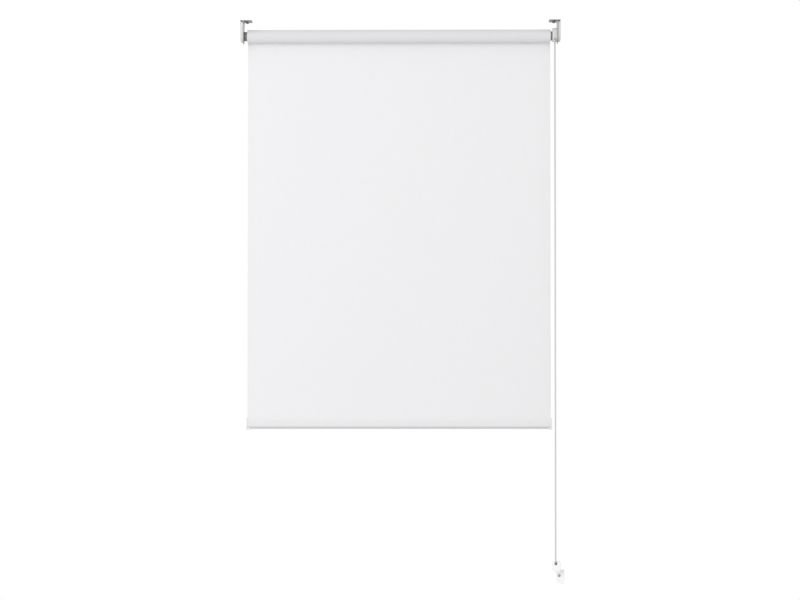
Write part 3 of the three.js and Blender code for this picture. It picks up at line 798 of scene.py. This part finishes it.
def bracket(name, hole):
    """A pressed flange and arm, with slots for its screws and holes for the cover's clips."""
    low, high = extent(name)
    outer = max(-low.x, high.x)
    inner = outer - (high.x - low.x)
    arm = arm_face(name)
    rim = 0.35
    flange_outline = rounded(rectangle(inner, low.y, outer, high.y), 2.5, steps=6)
    flange = slab("Z", flange_outline, -STEEL, high.z, rim)
    plate = slab("X", tongue(high.y, AXIS_Z, -STEEL / 2, 0.5), arm, arm + STEEL, rim)
    fold = 1.6
    middle = (arm - fold, -STEEL - fold)
    corner = [(arm + 0.5, middle[1]), (arm + 0.5, -STEEL + 0.5), (middle[0], -STEEL + 0.5)]
    fold_outline = corner + arc(middle, fold, 90, 0, 8)[:-1] + [(arm, middle[1])]
    seam = slab("Y", fold_outline, low.y + 0.6, high.y - 0.6, 0.1, 1)
    screw_low, screw_high = extent(name.replace("bracket", "ceiling_screw_front"))
    screw = abs(screw_low.x + screw_high.x) / 2
    slot_reach, slot_half = 4.5, 2.4
    slot_outlines = [
        rounded(rectangle(screw - slot_reach, y - slot_half, screw + slot_reach, y + slot_half), 2.3)
        for y in (-CEILING_SCREW_Y, CEILING_SCREW_Y)
    ]
    slots = [slab("Z", slot_outline, -6, 4) for slot_outline in slot_outlines]
    hole_half, hole_bottom, hole_top = 2.6, -14, -11
    hole_outlines = [
        rounded(rectangle(y - hole_half, hole_bottom, y + hole_half, hole_top), 0.5)
        for y in (-CLIP_Y, CLIP_Y)
    ]
    clip_holes = [slab("X", hole_outline, arm - 2, arm + 4) for hole_outline in hole_outlines]
    made = carved(joined(flange, plate, seam), *slots, *clip_holes, hole)
    stands_for(mirrored_to(made, name), name)


def brackets():
    left, right = arm_face("left_bracket"), arm_face("right_bracket")
    square = 4.3
    socket_hole = 6.1
    bracket("left_bracket", rod(socket_hole, left - 1, left + 4))
    core_outline = rectangle(-square, AXIS_Z - square, square, AXIS_Z + square)
    bracket("right_bracket", slab("X", rounded(core_outline, 0.5), right - 1, right + 4))


def bracket_cover(name):
    """A light moulded shell over the arm's outer face, held by two clips through the arm."""
    low, high = extent(name)
    face = arm_face(name.removesuffix("_cover")) + STEEL + GAP
    end = face + COVER_DEPTH
    radius = high.y
    outline = tongue(radius, low.z + radius, high.z, 6)
    shell = cup("X", outline, face, end, COVER_WALL, COVER_WALL, COVER_ROUNDING)
    clip_half, clip_bottom, clip_top = 2.2, -13.6, -12
    tip = face - STEEL - 1.1
    clip_outlines = [
        rounded(rectangle(y - clip_half, clip_bottom, y + clip_half, clip_top), 0.3)
        for y in (-CLIP_Y, CLIP_Y)
    ]
    clips = [slab("X", clip_outline, tip, end - 1, 0.4) for clip_outline in clip_outlines]
    stands_for(mirrored_to(joined(shell, *clips), name), name, paint=PAINTS["cover_plastic"])


# Screws

def pan_screw(head_radius, head_height, shank_radius, length):
    """A screw along +X with a domed head, a cross recess and a grooved shank. Its head seats at x = 0."""
    dome = [(-head_height * share, head_radius * width) for share, width in
            ((1, 0.3), (0.97, 0.52), (0.86, 0.75), (0.66, 0.91), (0.4, 0.99))]
    seat = rounded([(-head_height * 0.4, head_radius), (0, head_radius), (0, shank_radius)], 0.25, False)
    thread = []
    pitch = 0.8
    for turn in range(int(length / pitch)):
        start = pitch * turn
        crest, root = shank_radius, shank_radius - 0.3
        thread += [(start + 0.1, crest), (start + 0.4, root), (start + 0.7, crest)]
    tip = [(length - 0.1, shank_radius), (length, shank_radius - 0.1)]
    screw = turned(dome + seat[1:] + thread + tip, z=0, segments=48)
    long_half, short_half = head_radius * 0.6, head_radius * 0.13
    wings = []
    for y, z in ((long_half, short_half), (short_half, long_half)):
        levels = [(-head_height - 1, 1.15), (-head_height * 0.42, 0.55)]
        wings.append(loft([
            [ALONG["X"](x, point) for point in rectangle(-y * grow, -z * grow, y * grow, z * grow)]
            for x, grow in levels
        ]))
    return carved(screw, joined(*wings))


def screws():
    head, height = 4, 3
    head_up = Matrix.Rotation(-math.pi / 2, 4, "Y")
    for side in ("left", "right"):
        for place in ("front", "rear"):
            name = f"{side}_ceiling_screw_{place}"
            low, high = extent(name)
            made = pan_screw(head, height, SCREW_SHANK, STEEL + GAP - 0.1)
            middle = (low + high) / 2
            stands_for(placed(made, middle.x, middle.y, low.z + height, head_up), name)
    low, high = extent("clutch_screw")
    height = 2.4
    made = pan_screw(4.5, height, 2, 14)
    turned_round = Matrix.Rotation(math.pi, 4, "Z")
    stands_for(placed(made, high.x - height, 0, AXIS_Z, turned_round), "clutch_screw")
    low, high = extent("tensioner_screw")
    middle = (low + high) / 2
    made = pan_screw(3.8, 2.5, SCREW_SHANK, TENSIONER_PLATE + GAP - 0.1)
    into_wall = Matrix.Rotation(math.pi / 2, 4, "Z")
    seat = high.y - TENSIONER_PLATE - GAP + 0.1
    stands_for(
        placed(made, middle.x, seat, middle.z, into_wall), "tensioner_screw", paint=PAINTS["bright_screw"]
    )


# Idle end of the roller

def idle_socket():
    """A collar whose boss passes through the arm, with a blind bore for the pin."""
    low, high = extent("idle_socket")
    seat = -arm_face("left_bracket") + GAP
    bore_end = high.x - 6
    corners = [
        (low.x, 0), (low.x, 5.7), (seat, 5.7), (seat, high.y),
        (high.x, high.y), (high.x, PIN_BORE), (bore_end, PIN_BORE), (bore_end, 0),
    ]
    radii = [0, 0.6, 0.2, 0.5, 0.8, 0.4, 0.3, 0]
    stands_for(turned(rounded(corners, radii, closed=False)), "idle_socket")


def idle_socket_clip():
    """A push-on ring whose bent teeth bite the socket's boss."""
    low, high = extent("idle_socket_clip")
    teeth = 8
    edge = []
    for step in range(4 * teeth):
        angle = 2 * math.pi * (step + 0.5) / (4 * teeth)
        radius = 5.85 if step % 4 < 2 else 7.1
        edge.append((radius * math.cos(angle), AXIS_Z + radius * math.sin(angle)))
    blank = ring(high.y, 5, low.x, high.x, 0.2)
    hole = slab("X", edge, low.x - 1, high.x + 1, 0.1)
    stands_for(carved(blank, hole), "idle_socket_clip")


def splines(count, low, high, radius, depth):
    """Cutters for grooves along the outside of a turned piece."""
    cutters = []
    for number in range(count):
        outline = rounded(rectangle(-1.6, radius - depth, 1.6, radius + 2), 0.5)
        turn = Matrix.Rotation(2 * math.pi * number / count, 4, "X")
        cutters.append(placed(slab("X", outline, low, high, 0.4), 0, 0, AXIS_Z, turn))
    return cutters


def idle_end_plug():
    """The plug in the idle end of the tube, with its white shoulder outside."""
    low, high = extent("idle_end_plug")
    step = -HALF - GAP
    inside = TUBE_BORE - GAP
    bore = 5.6
    corners = [
        (low.x, PIN_BORE), (low.x, high.y), (step, high.y), (step, inside),
        (high.x, inside), (high.x, bore), (-HALF, bore), (-HALF, PIN_BORE),
    ]
    plug = turned(rounded(corners, [0.4, 0.7, 0.2, 0.1, 1.2, 0.4, 0.2, 0.2]), hollow=True)
    cutters = splines(6, step + 2, high.x + 2, inside, 1.1)
    stands_for(carved(plug, *cutters), "idle_end_plug", paint=PAINTS["lit_white_plastic"])


def idle_pin():
    """The sprung pin, with a flange that stops it in the plug."""
    low, high = extent("idle_pin")
    flange = -HALF + GAP
    corners = [
        (low.x, 0), (low.x, PIN_RADIUS), (flange, PIN_RADIUS), (flange, high.y),
        (flange + 2, high.y), (flange + 2, PIN_RADIUS), (high.x, PIN_RADIUS), (high.x, 0),
    ]
    pin = turned(rounded(corners, [0, 1.1, 0.1, 0.4, 0.4, 0.1, 0.6, 0], closed=False))
    stands_for(pin, "idle_pin")


def coil_points(radius, low, high, turns, closed_turn=0.0):
    """Points on a helix round the roller axis, its first and last turn of the pitch closed_turn."""
    steps = 28
    if closed_turn == 0:
        stages = [(turns, high - low)]
    else:
        stages = [(1, closed_turn), (turns, high - low - 2 * closed_turn), (1, closed_turn)]
    x, angle = low, 0
    points = [Vector((x, radius, AXIS_Z))]
    for stage_turns, length in stages:
        count = round(stage_turns * steps)
        for _ in range(count):
            x += length / count
            angle += 2 * math.pi * stage_turns / count
            points.append(Vector((x, radius * math.cos(angle), AXIS_Z + radius * math.sin(angle))))
    return points


def pin_spring():
    """A compression spring between the pin's flange and its seat in the plug."""
    low, high = extent("pin_spring")
    thick = 0.9
    coil = coil_points(4.3, low.x + thick / 2, high.x - thick / 2, 6, thick + 0.05)
    made = finished(wire(coil, thick / 2), "pin_spring", sharp=60)
    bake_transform(made)


def spring_seat():
    low, high = extent("spring_seat")
    seat = rod(high.y, low.x, high.x, 0.5)
    spigot = rod(3.2, low.x - 1.2, low.x + 1, 0.4)
    stands_for(joined(seat, spigot), "spring_seat")


# Roller and its fabric

def roller_tube():
    stands_for(ring(TUBE_RADIUS, TUBE_BORE, -HALF, HALF, 0.2, segments=96), "roller_tube")


def fabric_tape():
    """The strip of tape that holds the fabric's first edge on the tube."""
    low, high = extent("fabric_tape")
    half_angle = math.degrees(0.32)
    outside = arc((0, AXIS_Z), TUBE_RADIUS + 0.22, -half_angle, half_angle, 16)
    inside = arc((0, AXIS_Z), TUBE_RADIUS + 0.06, half_angle, -half_angle, 16)
    stands_for(slab("X", outside + inside, low.x, high.x, 0.02, 1), "fabric_tape")


def fabric_roll():
    """The wound fabric, as one spiral strip whose layers don't end quite level."""
    inner = TUBE_RADIUS + GAP + LAYER_THICKNESS / 2
    outer = ROLL_RADIUS - 0.25 - LAYER_THICKNESS / 2
    turns = (outer - inner) / LAYER_PITCH
    steps = round(turns * 56)
    line = []
    ends = []
    for share in spread(0, 1, steps + 1):
        angle = math.radians(WRAP_END) + 2 * math.pi * turns * share
        radius = outer + (inner - outer) * share
        line.append((radius * math.cos(angle), AXIS_Z + radius * math.sin(angle)))
        wander = 0.22 * math.sin(angle * 0.43) + 0.12 * math.sin(angle * 1.31)
        ends.append((-HALF + 0.3 + wander, HALF - 0.3 + wander))
    stands_for(ribbon(line, LAYER_THICKNESS, ends), "fabric_roll", paint=PAINTS["wound_cloth"])


def hanging_fabric():
    """The outermost turn on the roll and the cloth hanging from it to the hem's weld, as one sheet.

    The hanging stretch has no points between its ends.
    """
    line = []
    settled_at = 70  # degrees up the roll's back, where the cloth lies on it
    settled_by, wound_by = 0.45, 0.06
    for angle in reversed(spread(0, WRAP_END, 97)):
        share = min(angle / settled_at, 1)
        radius = FABRIC_Y - settled_by * share * share * (3 - 2 * share) - wound_by * angle / WRAP_END
        turn = math.radians(angle)
        line.append((radius * math.cos(turn), AXIS_Z + radius * math.sin(turn)))
    end = pocket_high.z + SEAM
    line.append((FABRIC_Y, end))
    made = finished(ribbon(line, FABRIC_THICKNESS), "hanging_fabric", paint=PAINTS["cloth_front"])
    made.data.materials.append(PAINTS["cloth_back"])
    made.data.materials.append(PAINTS["wound_cloth"])
    for face in made.data.polygons:
        hangs = face.center.z < (AXIS_Z - 2 * ROLL_RADIUS) * MM
        if not hangs:
            face.material_index = 2
        elif face.normal.y > 0.5:
            face.material_index = 1
    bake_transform(made)


# Hem, bar and end caps

def hem_pocket():
    """The pocket round the bar: two layers welded together above it, then spread round it."""
    radius = BAR_THICKNESS / 2 + GAP + POCKET_WALL
    straight = (BAR_HEIGHT - BAR_THICKNESS) / 2
    weld_bottom = pocket_high.z - WELD_HEIGHT
    reach = Vector((POCKET_WALL, weld_bottom - BAR_Z - straight))
    lean = math.degrees(math.atan2(reach.y, reach.x) - math.acos(radius / reach.length))
    upper, lower = (FABRIC_Y, BAR_Z + straight), (FABRIC_Y, BAR_Z - straight)
    around = arc(upper, radius, 180 - lean, 180, 6) + arc(lower, radius, 180, 360, 28)
    around += arc(upper, radius, 0, lean, 6)
    groove, groove_half = 0.14, 0.35
    profile = [(POCKET_WALL, weld_bottom)]
    for share in (0.3, 0.7):
        z = weld_bottom + WELD_HEIGHT * share
        profile += [
            (POCKET_WALL, z - groove_half), (POCKET_WALL - groove, z), (POCKET_WALL, z + groove_half)
        ]
    profile.append((POCKET_WALL, pocket_high.z))
    right = [(FABRIC_Y + y, z) for y, z in profile]
    left = [(FABRIC_Y - y, z) for y, z in reversed(profile)]
    outside = slab("X", around + right + left, -HALF, HALF, 0.08, 1)
    inside = slab("X", oval(GAP), -HALF - 2, HALF + 2)
    stands_for(carved(outside, inside), "hem_pocket", paint=PAINTS["hem_cloth"])


def bottom_bar():
    """The flattened aluminium tube that weighs the fabric down."""
    outside = slab("X", oval(0), bar_low.x, bar_high.x, 0.15)
    inside = slab("X", oval(-BAR_WALL), bar_low.x - 1, bar_high.x + 1, 0.1)
    stands_for(carved(outside, inside), "bottom_bar")


def bar_end_cap(name):
    """A cap whose flange covers the hem's end, with a lip under it and a plug in the bar."""
    start = HALF + 3 * SEAM
    end = HALF + GAP + CAP_FLANGE
    flange = slab("X", oval(CAP_PROUD), start, end, 1.1, 5)
    lip = slab("X", oval(CAP_PROUD), HALF - CAP_LIP, start + 1.5, 0.4)
    pocket = slab("X", oval(2 * GAP + POCKET_WALL), HALF - CAP_LIP - 1, start + 0.01, 0.05, 1)
    lip_top = BAR_Z - 10
    above = slab("Y", rectangle(HALF - 20, lip_top, start - 0.01, BAR_Z + 30), -40, 60, 0.1, 1)
    plug = slab("X", oval(-BAR_WALL - GAP), start - 15, start + 1, 0.7)
    made = joined(carved(lip, pocket, above), flange, plug)
    stands_for(mirrored(made) if name.endswith("left") else made, name, paint=PAINTS["cap_plastic"])


# Drive end of the roller

def drive_hub():
    """The hub that turns the tube, with its white shoulder outside."""
    low, high = extent("drive_hub")
    step = HALF + GAP
    inside = TUBE_BORE - GAP
    narrow, wide = 7.9, 9
    narrow_end = HALF - 8.5
    corners = [
        (low.x, narrow), (low.x, inside), (step, inside), (step, high.y),
        (high.x, high.y), (high.x, wide), (narrow_end, wide), (narrow_end, narrow),
    ]
    hub = turned(rounded(corners, [0.4, 1.2, 0.1, 0.2, 0.3, 0.4, 0.2, 0.2]), hollow=True)
    cutters = splines(6, low.x - 2, step - 2, inside, 1.1)
    stands_for(carved(hub, *cutters), "drive_hub", paint=PAINTS["lit_white_plastic"])


def drive_collar():
    low, high = extent("drive_collar")
    stands_for(ring(high.y, 9, low.x, high.x, 0.6), "drive_collar")


def wrap_spring(name):
    """A close spring that grips the core when the roller pulls and frees it when the chain does."""
    low, high = extent(name)
    thick = 1.1
    coil = coil_points(6.75, low.x + thick / 2, high.x - thick / 2, 4)
    stands_for(wire(coil, thick / 2), name, sharp=60)


def clutch_core():
    """The fixed core: a bored round rod with a square key through the bracket's arm."""
    low, high = extent("clutch_core")
    key = 4
    face = arm_face("right_bracket") - GAP
    round_part = rod(5.5, low.x, face, 0.6)
    outline = rounded(rectangle(-key, AXIS_Z - key, key, AXIS_Z + key), 0.6)
    square_part = slab("X", outline, face - 1, high.x, 0.5)
    bore = rod(2.4, HALF + 4, high.x + 20)
    stands_for(carved(joined(round_part, square_part), bore), "clutch_core")


def chain_guards():
    """Two shells round the wheel that meet at a seam, with round holes below where the chain leaves."""
    low, high = extent("chain_guard_inner")
    outline = tongue(high.y, AXIS_Z, high.z, 9)
    exits = [
        arc((CHAIN_X, y), BEAD_RADIUS + 0.55, 0, 360, 32)[:-1]
        for y in (-WHEEL_RADIUS, WHEEL_RADIUS)
    ]
    for name, mouth, end, hole in (
        ("chain_guard_inner", CHAIN_X - GAP / 2, low.x, 9),
        ("chain_guard_outer", CHAIN_X + GAP / 2, arm_face("right_bracket") - GAP, CORE_BORE),
    ):
        shell = cup("X", outline, mouth, end, GUARD_WALL, GUARD_PLATE, 1.3)
        cutters = [slab("Z", exit_outline, AXIS_Z - 20, AXIS_Z - 3) for exit_outline in exits]
        stands_for(carved(shell, rod(hole, end - 3, end + 3), *cutters), name, paint=PAINTS["cover_plastic"])


# The chain's holder on the wall

def tensioner_base():
    """The wall plate with its screw tab, and the two cheeks that hold the pulley's axle."""
    low, high = extent("tensioner_base")
    cover_low, cover_high = extent("tensioner_cover")
    screw_low, screw_high = extent("tensioner_screw")
    screw = (screw_low + screw_high) / 2
    back = high.y
    front = back - TENSIONER_PLATE
    plate_outline = rounded(rectangle(cover_low.x, cover_low.z, cover_high.x, cover_high.z), 3, steps=6)
    tab_left = CHAIN_X + TAB_INSET
    tab_outline = rounded(rectangle(tab_left, low.z, high.x, cover_low.z + TAB_OVERLAP), 4, steps=8)
    plate = slab("Y", plate_outline, front, back, 0.5)
    tab = slab("Y", tab_outline, front, back, 0.5)
    cheek_corners = rectangle(PULLEY_Y - 6, PULLEY_Z - 6, front + 1, PULLEY_Z + 6)
    cheek_outline = rounded(cheek_corners, [3, 0.5, 0.5, 3])
    cheeks = [
        slab("X", cheek_outline, CHAIN_X + side - 1, CHAIN_X + side + 1, 0.25)
        for side in (-5, 5)
    ]
    axle_hole = rod(AXLE_RADIUS + GAP, CHAIN_X - 9, CHAIN_X + 9, y=PULLEY_Y, z=PULLEY_Z)
    hole_outline = arc((screw.x, screw.z), 2.3, 0, 360, 32)[:-1]
    screw_hole = slab("Y", hole_outline, front - 2, back + 2)
    made = carved(joined(plate, tab, *cheeks), axle_hole, screw_hole)
    stands_for(made, "tensioner_base", paint=PAINTS["lit_white_plastic"])


def tensioner_cover():
    """The shell over the pulley, with a slot from its top for the two strands of chain."""
    low, high = extent("tensioner_cover")
    outline = rounded(rectangle(low.x, low.z, high.x, high.z), 4, steps=8)
    shell = cup("Y", outline, high.y, low.y, TENSIONER_WALL, TENSIONER_WALL, 1.5)
    slot_outline = rounded(rectangle(CHAIN_X - 3.4, high.z - 8, CHAIN_X + 3.4, high.z + 6), 1.2)
    slot = slab("Y", slot_outline, low.y - 2, high.y + 2)
    stands_for(carved(shell, slot), "tensioner_cover", paint=PAINTS["lit_white_plastic"])


def tensioner_axle():
    low, high = extent("tensioner_axle")
    axle = rod(AXLE_RADIUS, low.x, high.x, 0.3, y=PULLEY_Y, z=PULLEY_Z)
    stands_for(axle, "tensioner_axle")


CLOTH_COLOUR = (0.875, 0.868, 0.883)
CLOTH_BACK_COLOUR = (0.76, 0.752, 0.766)

PAINTS = {
    "bracket_steel": zinc_plate("zinc_plate", (0.6, 0.605, 0.61)),
    "white_plastic": moulded("white_plastic", (0.84, 0.84, 0.82), 0.42),
    "grey_plastic": moulded("grey_plastic", (0.2, 0.203, 0.205), 0.5),
    "aluminium": drawn_metal("aluminium", (0.76, 0.77, 0.78), 0.38, (0.02, 1, 1)),
    "spring_steel": drawn_metal("spring_steel", (0.5, 0.51, 0.52), 0.3, (1, 0.2, 0.2)),
    "screw_steel": blackened("screw_steel", (0.17, 0.17, 0.168)),
    "bright_screw": blackened("bright_screw", (0.45, 0.45, 0.455)),
    "chain": moulded("bead_plastic", (0.62, 0.62, 0.605), 0.32),
    "tape": film("tape_film", (0.8, 0.76, 0.6)),
    "cloth_front": woven("cloth_front", CLOTH_COLOUR),
    "cloth_back": woven("cloth_back", CLOTH_BACK_COLOUR),
    "wound_cloth": woven("wound_cloth", CLOTH_BACK_COLOUR, wound=True),
    "hem_cloth": woven("hem_cloth", CLOTH_COLOUR, hem_share=0.95),
    "cap_plastic": moulded("cap_plastic", (0.9, 0.9, 0.885), 0.4),
    # Painted light: a copy of the white plastic made lighter than white_plastic, in place of a fill light on
    # the tensioner, the plugs and the hub.
    "lit_white_plastic": moulded("lit_white_plastic", (0.98, 0.98, 0.975), 0.35),
    "cover_plastic": moulded("cover_plastic", (0.725, 0.72, 0.7), 0.45),
}

camera()
bead_chain()

brackets()
bracket_cover("left_bracket_cover")
bracket_cover("right_bracket_cover")
screws()

idle_socket()
idle_socket_clip()
idle_end_plug()
idle_pin()
pin_spring()
spring_seat()

roller_tube()
fabric_tape()
fabric_roll()
hanging_fabric()
hem_pocket()
bottom_bar()
bar_end_cap("bar_end_cap_left")
bar_end_cap("bar_end_cap_right")

drive_hub()
drive_collar()
wrap_spring("wrap_spring_inner")
wrap_spring("wrap_spring_outer")
clutch_core()
chain_wheel()
chain_guards()

tensioner_base()
tensioner_cover()
tensioner_pulley()
tensioner_axle()

studio_air()
floor()
softbox("key", (-2.5, -4.5, 0.05), 3.5, 88)
bpy.context.scene.view_settings.view_transform = "Standard"
